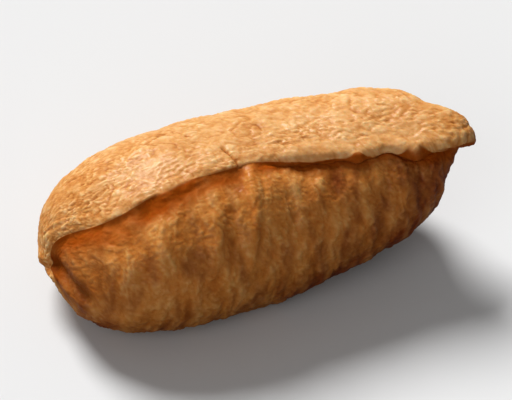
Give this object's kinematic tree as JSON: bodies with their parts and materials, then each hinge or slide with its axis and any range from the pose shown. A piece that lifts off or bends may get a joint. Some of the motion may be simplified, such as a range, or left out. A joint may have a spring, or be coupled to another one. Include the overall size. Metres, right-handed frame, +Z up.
{
  "type": "inari sushi",
  "caption": "Barrel-shaped inari sushi: a golden fried-tofu pouch filled with rice, its top sheet folded into a lip along the front and a pointed ear at one end.",
  "frame": {"origin": "on the resting plane, under the middle of the pouch's box", "axes": "+X runs along the pouch from its blunt end to the pointed ear, -Y is the front with the lip and the belly, +Z is up"},
  "size_m": [0.084, 0.04, 0.032],
  "materials": {
    "fried_tofu": "moist simmered fried tofu skin, golden on top and amber brown on the sides, finely wrinkled, semi-gloss"
  },
  "bodies": {
    "root": {"inari": "fried_tofu"}
  },
  "joints": []
}
